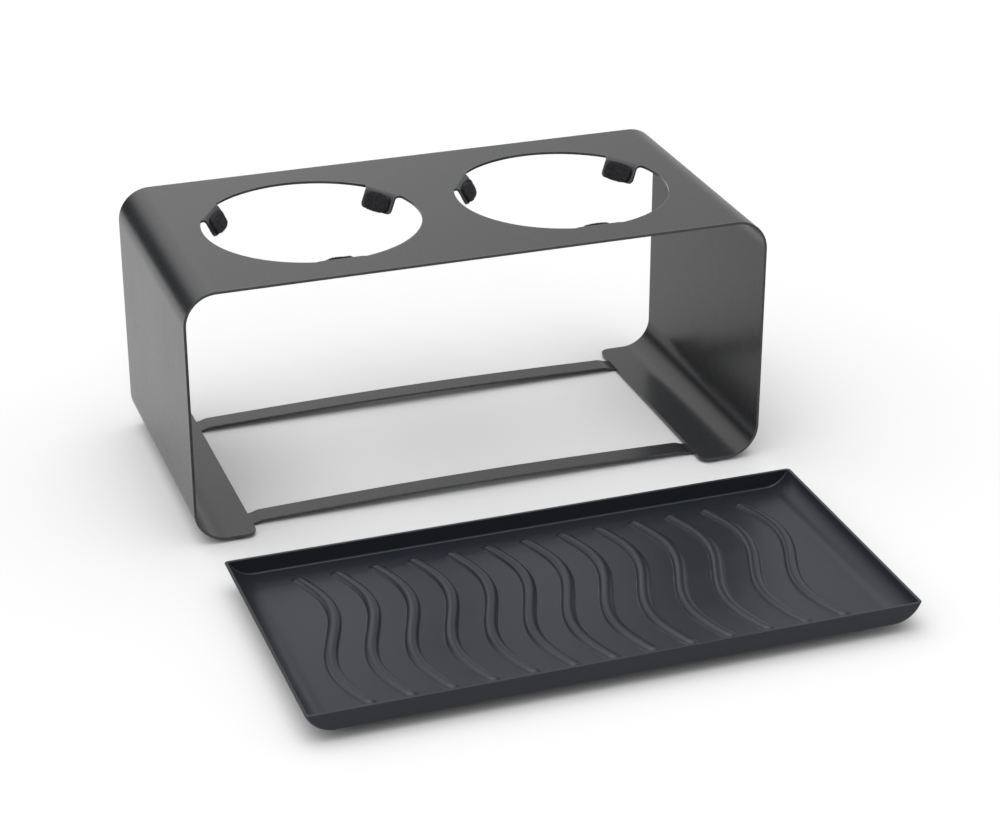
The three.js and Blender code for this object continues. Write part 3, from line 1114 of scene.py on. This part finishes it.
@dataclass
class FeltPad:
    """A rounded felt pad on a tab's inner face."""

    node: str
    place: TabPlace
    tab: BowlTab
    finish: Finish = PAD_FELT
    width: float = 24.5 * MM
    length: float = 15.4 * MM
    squareness: float = 3.2
    thickness: float = 3.2 * MM
    set_back: float = 0.7 * MM
    soft_edge: float = 0.9 * MM
    crown_fall: float = 0.25 * MM
    back_band: float = 0.3 * MM
    back_share: float = 0.7
    around: int = 40
    lump: float = 0.35 * MM
    lump_spread: float = 3 * MM
    pile_length: float = 0.8 * MM
    pile_radius: float = 0.07 * MM
    pile_lean: float = math.radians(42)
    shortest_pile: float = 0.5
    longest_pile: float = 1.15
    piles_per_square_metre: float = 7.0e6
    fill: float = 0.9

    def build(self) -> bpy.types.Object:
        """Presses the pad and raises its pile.

        Returns:
            The finished piece.
        """
        piece = piece_from(f"{self.node}_felt", self.pile().applied(self.pressed()), self.finish)
        return fitted(piece, "stand", self.finish, self.node)

    def _placing(self) -> Matrix:
        """From the pad's own axes to its place on the tab.

        Returns:
            The matrix, whose third column points off the tab.
        """
        low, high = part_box(self.node)
        slope = self.tab.bend
        down = Vector((-math.cos(slope), 0, -math.sin(slope)))
        off = Vector((-math.sin(slope), 0, math.cos(slope)))
        axes = Matrix((down, off.cross(down), off)).transposed()
        turn = Matrix.Rotation(math.radians(self.place.value), 3, "Z")
        return Matrix.Translation((low + high) / 2) @ (turn @ axes).to_4x4()

    def _fuller(self, value: float) -> float:
        """A cosine or sine, pushed out so that the outline is squarer than an ellipse."""
        return math.copysign(abs(value) ** (2 / self.squareness), value)

    def pressed(self) -> bpy.types.Mesh:
        """The pad's body: domed, soft at its rim and a little uneven.

        Returns:
            The closed mesh, marked where pile grows.
        """
        surface = Surface(PILE_MARK)
        placing = self._placing()
        soft = self.soft_edge
        crown = self.thickness / 2 - self.pile_length / 2 - self.set_back
        back = -self.thickness / 2
        rim_steps, face_steps = 4, 6
        rim_turns = spread(0, RIGHT_ANGLE, rim_steps)
        profile = [(share, 0.0, crown) for share in spread(0, 1, face_steps)[1:]]
        profile += [(1.0, soft * math.sin(t), crown - soft * (1 - math.cos(t))) for t in rim_turns[1:]]
        profile += [(1.0, soft, back + self.back_band), (1.0, self.back_share * soft, back)]
        half_length = self.length / 2 - soft - self.pile_length / 2
        half_width = self.width / 2 - soft - self.pile_length / 2
        rings = []
        for share, out, height in profile:
            ring = []
            for turn in spread(0, FULL_TURN, self.around)[:-1]:
                flat = Vector((
                    (share * half_length + out) * self._fuller(math.cos(turn)),
                    (share * half_width + out) * self._fuller(math.sin(turn)),
                    height - self.crown_fall * share**2 * float(height > 0),
                ))
                lump = self.lump * noise.noise(placing @ flat / self.lump_spread)
                outward = Vector((flat.x, flat.y, self.width / 2)).normalized()
                ring.append(surface.point(placing @ (flat + lump * outward), pile=float(height > back)))
            rings.append(ring)
        surface.grid(rings[::-1], closed=True)
        for ring, height in ((rings[0], crown), (rings[-1], back)):
            hub = surface.point(placing @ Vector((0, 0, height)), pile=float(height > 0))
            for i, corner in enumerate(ring):
                pair = [corner, ring[(i + 1) % self.around]]
                surface.face([hub, *(pair if height > 0 else pair[::-1])])
        return surface.finished(outward=True)

    def pile(self) -> GeometryRule:
        """The short fibres that stand on the felt.

        Returns:
            The rule that grows them.
        """
        rule = GeometryRule(f"pile_{self.node}", {
            "Pile Length": self.pile_length,
            "Pile Radius": self.pile_radius,
            "Pile Density": self.piles_per_square_metre,
            "Lean": self.pile_lean,
            "Shortest": self.shortest_pile,
            "Longest": self.longest_pile,
        })
        graph = rule.graph
        body = graph.out(rule.given, "Geometry")
        grows = graph.math("GREATER_THAN", rule.mark(PILE_MARK), 0.5)
        scattered = graph.node("GeometryNodeDistributePointsOnFaces", {"distribute_method": "RANDOM"}, {
            "Mesh": body,
            "Selection": grows,
            "Density": rule.size("Pile Density"),
            "Seed": 7,
        })
        fibre = graph.node("GeometryNodeMeshCone", {"fill_type": "NGON"}, {
            "Vertices": 3,
            "Side Segments": 1,
            "Radius Top": 0.0,
            "Radius Bottom": rule.size("Pile Radius"),
            "Depth": rule.size("Pile Length"),
        })
        lean = rule.size("Lean")
        leaning = graph.node("FunctionNodeRandomValue", {"data_type": "FLOAT_VECTOR"}, {
            0: rule.vector(0.0 - lean, 0.0 - lean, -math.pi),
            1: rule.vector(lean, lean, math.pi),
            "Seed": 11,
        })
        lengths = graph.node("FunctionNodeRandomValue", {"data_type": "FLOAT"}, {
            2: rule.size("Shortest"),
            3: rule.size("Longest"),
            "Seed": 13,
        })
        turned = graph.node("FunctionNodeRotateRotation", {"rotation_space": "LOCAL"}, {
            0: graph.out(scattered, "Rotation"),
            1: graph.out(leaning, 0),
        })
        standing = graph.node("GeometryNodeInstanceOnPoints", None, {
            "Points": graph.out(scattered, "Points"),
            "Instance": graph.out(fibre, "Mesh"),
            "Rotation": graph.out(turned),
            "Scale": graph.out(lengths, 1),
        })
        joined = graph.node("GeometryNodeJoinGeometry")
        for part in (body, graph.out(standing)):
            graph.tree.links.new(part.socket, joined.inputs[0])
        rule.ending(graph.out(joined), self.finish)
        return rule


@dataclass
class RubberFoot:
    """A small anti-slip foot, dished underneath."""

    node: str
    finish: Finish = FOOT_RUBBER
    rounding: float = 0.7 * MM
    dish: float = 0.4 * MM
    dish_floor: float = 0.55
    dish_slope: float = 0.8
    dish_depth_left: float = 0.3
    neck: float = 0.985
    top: float = 0.96
    top_band: float = 0.1 * MM
    around: int = 40

    def build(self) -> bpy.types.Object:
        """Turns the foot's profile.

        Returns:
            The finished piece.
        """
        low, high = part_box(self.node)
        radius = (high.x - low.x) / 2
        axis = (low + high) / 2
        ring_radius = radius - self.rounding
        rounding_steps = 5
        profile = [
            (ring_radius * self.dish_floor, low.z + self.dish),
            (ring_radius * self.dish_slope, low.z + self.dish * self.dish_depth_left),
        ]
        profile += [
            (ring_radius + self.rounding * math.cos(t), low.z + self.rounding * (1 + math.sin(t)))
            for t in spread(-RIGHT_ANGLE, 0, rounding_steps)
        ]
        profile += [(radius * self.neck, high.z - self.top_band), (radius * self.top, high.z)]
        surface = Surface()
        rings = [
            [surface.point(Vector((axis.x + r * math.cos(a), axis.y + r * math.sin(a), z)))
             for a in spread(0, FULL_TURN, self.around)[:-1]]
            for r, z in profile
        ]
        surface.grid(rings, closed=True)
        surface.face(rings[0][::-1])
        surface.face(rings[-1])
        piece = piece_from(f"{self.node}_rubber", surface.finished(outward=True), self.finish)
        return fitted(piece, "stand", self.finish, self.node)


# ---------------------------------------------------------------- The drip tray


@dataclass(frozen=True)
class Trough:
    """One skin of the tray: a flat floor that curves up at both ends, between two upright long walls."""

    flat_half: float
    half_width: float
    bottom: float
    centre_z: float
    top: float
    fillet: float

    def profile(self, inset: float, floor: Sequence[float]) -> list[tuple[float, float]]:
        """The skin's side view, drawn in by an inset.

        Args:
            inset: how far inside the full shape it lies.
            floor: the places of its points along the flat floor.

        Returns:
            Points from the left rim round the bottom to the right rim.
        """
        radius = self.centre_z - self.bottom - inset
        lift = math.asin((self.centre_z - self.top) / radius)
        arc_steps = 14
        arc = [
            (self.flat_half + radius * math.cos(t), self.centre_z - radius * math.sin(t))
            for t in spread(lift, RIGHT_ANGLE, arc_steps)
        ]
        flat = [(x, self.bottom + inset) for x in floor]
        return [(-x, z) for x, z in arc[:-1]] + flat + arc[:-1][::-1]

    def rows(self, runs: Sequence[float]) -> list[tuple[float, float]]:
        """Places across the skin, each with the inset of its long-edge rounding.

        Args:
            runs: the places between the two roundings, as shares of the room between them.

        Returns:
            The places from the front wall to the back wall, with their insets.
        """
        straight = self.half_width - self.fillet
        back = [
            (straight + self.fillet * math.sin(t), self.fillet * (1 - math.cos(t)))
            for t in spread(0, RIGHT_ANGLE, CORNER_STEPS)[1:]
        ]
        front = [(-y, inset) for y, inset in reversed(back)]
        return front + [(straight * share, 0.0) for share in runs] + back


@dataclass
class DripTray:
    """The moulded tray, with wavy ribs that keep a wet bowl off its floor."""

    finish: Finish = TRAY_PLASTIC
    wall: float = 2.2 * MM
    end_radius: float = 22 * MM
    outer_fillet: float = 3.2 * MM
    inner_fillet: float = 1.5 * MM
    rim_rounding: float = 0.75 * MM
    rib_count: int = 13
    rib_pitch: float = 28.5 * MM
    rib_width: float = 9.5 * MM
    rib_height: float = 2.4 * MM
    rib_setback: float = 19 * MM
    wave: float = 10.5 * MM
    wave_length: float = 170 * MM
    crown_shape: float = 2.7
    foot_shape: float = 0.95
    past_rib: float = 0.5 * MM

    def __post_init__(self) -> None:
        """Takes the overall sizes from the frame."""
        self.low, self.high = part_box("drip_tray")
        self.middle_y = (self.low.y + self.high.y) / 2
        self.half_depth = (self.high.y - self.low.y) / 2
        self.half_length = (self.high.x - self.low.x) / 2
        self.centre_z = self.low.z + self.end_radius
        below = self.centre_z - self.high.z
        self.flat_half = self.half_length - math.sqrt(self.end_radius**2 - below**2)

    @property
    def rib_half(self) -> float:
        """From the tray's middle to a rib's end."""
        return self.half_depth - self.rib_setback

    def _skin(self, wall: float, fillet: float) -> Trough:
        """One skin of the tray.

        Args:
            wall: how far it lies inside the tray's outside.
            fillet: the rounding along its long edges.

        Returns:
            The skin.
        """
        return Trough(self.flat_half, self.half_depth - wall, self.low.z + wall, self.centre_z,
                      self.high.z, fillet)

    def _floor_places(self) -> list[float]:
        """Where the inner floor's points lie along the tray, closer together on the ribs.

        Returns:
            The places from left to right.
        """
        half = self.rib_width / 2
        shares = (0.1, 0.32, 0.52, 0.68, 0.8, 0.89, 0.95, 1.0, 1.06, 1.3)
        end_steps = 3
        near = [share * half for share in shares]
        offsets = [-self.rib_pitch / 2, *(-n for n in reversed(near)), *near]
        places = []
        for rib in range(self.rib_count):
            middle = self.rib_pitch * (rib - (self.rib_count - 1) / 2)
            places += [middle + offset for offset in offsets]
        ends = spread(places[-1] + half, self.flat_half, end_steps)
        return [-x for x in reversed(ends)] + places[1:] + ends

    def _runs(self) -> list[float]:
        """Where the tray's points lie across it, as shares of half its width between the roundings.

        Returns:
            The shares from front to back, closer together at the ribs' ends.
        """
        straight = self.half_depth - self.wall - self.inner_fillet
        round_start = (self.rib_half - self.rib_width) / straight
        round_end = (self.rib_half + self.past_rib) / straight
        rib_steps, round_steps, wall_steps = 76, 12, 5
        outer = [*spread(round_start, round_end, round_steps), *spread(round_end, 1.0, wall_steps)[1:]]
        return [-s for s in reversed(outer)] + spread(-round_start, round_start, rib_steps)[1:-1] + outer

    def shell(self) -> bpy.types.Mesh:
        """The tray without its ribs.

        Returns:
            The closed mesh, marked where the ribs may rise.
        """
        surface = Surface(RIB_MARK)
        runs = self._runs()
        inner_floor = self._floor_places()
        underside_steps = 12
        underside = spread(-self.flat_half, self.flat_half, underside_steps)[1:-1]
        outer_floor = [inner_floor[0], *underside, inner_floor[-1]]
        loops = []
        for wall, fillet, floor in ((0.0, self.outer_fillet, outer_floor),
                                    (self.wall, self.inner_fillet, inner_floor)):
            skin = self._skin(wall, fillet)
            rows = []
            for y, inset in skin.rows(runs):
                row = []
                for x, z in skin.profile(inset, floor):
                    flat = wall > 0 and inset == 0.0 and abs(x) < self.flat_half - ON_BORDER
                    inside = abs(y) < skin.half_width - skin.fillet - ON_BORDER
                    place = Vector((x, self.middle_y + y, z))
                    row.append(surface.point(place, rib_ground=float(flat and inside)))
                rows.append(row)
            surface.grid(rows)
            surface.face(rows[0])
            surface.face(rows[-1])
            loops.append([row[0] for row in rows] + [row[-1] for row in reversed(rows)])
        surface.grid(loops, closed=True)
        return surface.finished(outward=True)

    def ribbing(self) -> GeometryRule:
        """The wavy ribs, raised in the tray's floor.

        Returns:
            The rule that raises them.
        """
        rule = GeometryRule("raise_ribs", {
            "Rib Count": float(self.rib_count),
            "Rib Pitch": self.rib_pitch,
            "Rib Width": self.rib_width,
            "Rib Height": self.rib_height,
            "Rib Half Length": self.rib_half,
            "Wave": self.wave,
            "Wave Length": self.wave_length,
            "Floor Half Length": self.flat_half,
            "Floor Half Width": self.half_depth - self.wall - self.inner_fillet,
            "Middle Y": self.middle_y,
        })
        graph = rule.graph
        x, raw_y, _ = rule.place()
        ground = rule.mark(RIB_MARK)
        y = raw_y - rule.size("Middle Y")
        pitch, half_width = rule.size("Rib Pitch"), rule.size("Rib Width") / 2.0
        last_rib = (rule.size("Rib Count") - 1.0) / 2.0
        turns_per_metre = FULL_TURN / rule.size("Wave Length")
        swing = rule.size("Wave") * graph.math("SINE", y * turns_per_metre)
        slope = rule.size("Wave") * turns_per_metre * graph.math("COSINE", y * turns_per_metre)
        ribs_end = last_rib * pitch + half_width
        fade_x = 1.0 - graph.eased((abs(x) - ribs_end) / (rule.size("Floor Half Length") - ribs_end))
        rib_half = rule.size("Rib Half Length")
        fade_y = 1.0 - graph.eased((abs(y) - rib_half) / (rule.size("Floor Half Width") - rib_half))
        shift = swing * fade_x * fade_y * ground
        nearest = graph.math("ROUND", x / pitch + last_rib)
        rib = graph.math("MAXIMUM", graph.math("MINIMUM", nearest, 2.0 * last_rib), 0.0) - last_rib
        across = (x - rib * pitch) / graph.math("SQRT", 1.0 + slope * slope)
        beyond = graph.math("MAXIMUM", abs(y) - (rib_half - half_width), 0.0)
        distance = graph.math("SQRT", across * across + beyond * beyond)
        share = graph.clamped(distance / half_width)
        bead = (1.0 - share**self.crown_shape) ** self.foot_shape
        moved = graph.node("GeometryNodeSetPosition", None, {
            "Geometry": graph.out(rule.given, "Geometry"),
            "Offset": rule.vector(shift, 0.0, rule.size("Rib Height") * bead * ground),
        })
        rule.ending(graph.out(moved), self.finish)
        return rule

    def build(self) -> bpy.types.Object:
        """Moulds the tray.

        Returns:
            The finished piece.
        """
        piece = piece_from("ribbed_tray", self.ribbing().applied(self.shell()), self.finish)
        bevelled(piece, self.rim_rounding)
        return fitted(piece, "tray", self.finish, "drip_tray")


# ---------------------------------------------------------------- The studio


@dataclass
class Studio:
    """A pale paper floor under a light tent, and the camera."""

    azimuth: float = math.radians(-19.4)
    elevation: float = math.radians(25.8)
    distance: float = 1.88
    lens: float = 92.5
    sensor: float = 36.0
    aim_right: float = 0.0
    aim_up: float = -0.012
    floor_radius: float = 1.6
    tent_light: float = 1.68
    horizon_dark: float = 0.03
    zenith_light: float = 1.6
    dark_side: float = 0.5
    side_spread: float = 0.45
    left_lit_from: float = 0.19
    right_lit_lower: float = 0.41
    wall_fade: float = 0.2
    roof_from: float = 0.72
    roof_fade: float = 0.25
    floor_drop: float = 0.05 * MM
    floor_around: int = 64

    def build(self) -> None:
        """Lays the floor, sets the light and places the camera."""
        low, high = cad_box
        centre = (low + high) / 2
        self._floor(low.z)
        self._tent()
        self._camera(centre)
        bpy.context.scene.view_settings.view_transform = "Standard"

    def _floor(self, height: float) -> None:
        """Lays the round paper floor.

        Args:
            height: where it lies.
        """
        surface = Surface()
        inner_radii = (0.01, 0.5, 1.2)
        rings = [
            [surface.point(Vector((radius * math.cos(a), radius * math.sin(a), height - self.floor_drop)))
             for a in spread(0, FULL_TURN, self.floor_around)[:-1]]
            for radius in (*inner_radii, self.floor_radius)
        ]
        surface.grid(rings[::-1], closed=True)
        surface.face(rings[0])
        floor = piece_from("paper_floor", surface.finished(outward=False), FLOOR_PAPER)

    def _tent(self) -> None:
        """Lights the scene from a soft tent, dark near the horizon on the left, with a white backdrop."""
        world = bpy.data.worlds.new("light_tent")
        world.use_nodes = True
        world.node_tree.nodes.clear()
        graph = Graph(world.node_tree)
        where = graph.out(graph.node("ShaderNodeTexCoord"), "Generated")
        parts = graph.node("ShaderNodeSeparateXYZ", None, {0: where})
        height = graph.out(parts, 2)
        to_right = graph.eased(graph.out(parts, 0) / self.side_spread)
        lit_from = self.left_lit_from - self.right_lit_lower * to_right
        lit = graph.eased((height - lit_from) / self.wall_fade)
        walls = self.horizon_dark + (1.0 - self.horizon_dark) * lit
        roof = self.zenith_light * graph.eased((height - self.roof_from) / self.roof_fade)
        side = 1.0 - self.dark_side * to_right
        strength = self.tent_light * (walls + roof) * side
        white = (1.0, 1.0, 1.0, 1.0)
        tent = graph.node("ShaderNodeBackground", None, {"Color": white, "Strength": strength})
        backdrop = graph.node("ShaderNodeBackground", None, {"Color": white, "Strength": 1.0})
        seen = graph.out(graph.node("ShaderNodeLightPath"), "Is Camera Ray")
        both = graph.node("ShaderNodeMixShader", None, {0: seen, 1: graph.out(tent), 2: graph.out(backdrop)})
        graph.node("ShaderNodeOutputWorld", None, {"Surface": graph.out(both)})
        bpy.context.scene.world = world

    def _camera(self, centre: Vector) -> None:
        """Places the camera.

        Args:
            centre: the middle of the object.
        """
        camera = bpy.data.cameras.new("camera")
        camera.lens = self.lens
        camera.sensor_width = self.sensor
        made = bpy.data.objects.new("camera", camera)
        back = Vector((
            math.sin(self.azimuth) * math.cos(self.elevation),
            -math.cos(self.azimuth) * math.cos(self.elevation),
            math.sin(self.elevation),
        ))
        turn = (-back).to_track_quat("-Z", "Y")
        aim = centre + turn @ Vector((self.aim_right, self.aim_up, 0))
        made.location = aim + self.distance * back
        made.rotation_euler = turn.to_euler()
        bpy.context.scene.collection.objects.link(made)
        bpy.context.scene.camera = made


# ---------------------------------------------------------------- The whole


def main() -> None:
    """Builds every piece in order, then the studio."""
    sheet = BentSheet()
    sheet.build()
    toe_x = sheet.half_length - sheet.foot_reach
    for end in End:
        Strap(f"{end.name.lower()}_strap", toe_x).build()
    for side in Side:
        for place in TabPlace:
            FeltPad(f"{side.name.lower()}_bowl_pad_{place.name.lower()}", place, sheet.tab).build()
        for end in End:
            RubberFoot(f"foot_pad_{end.name.lower()}_{side.name.lower()}").build()
    DripTray().build()
    Studio().build()


if __name__ == "__main__":
    main()
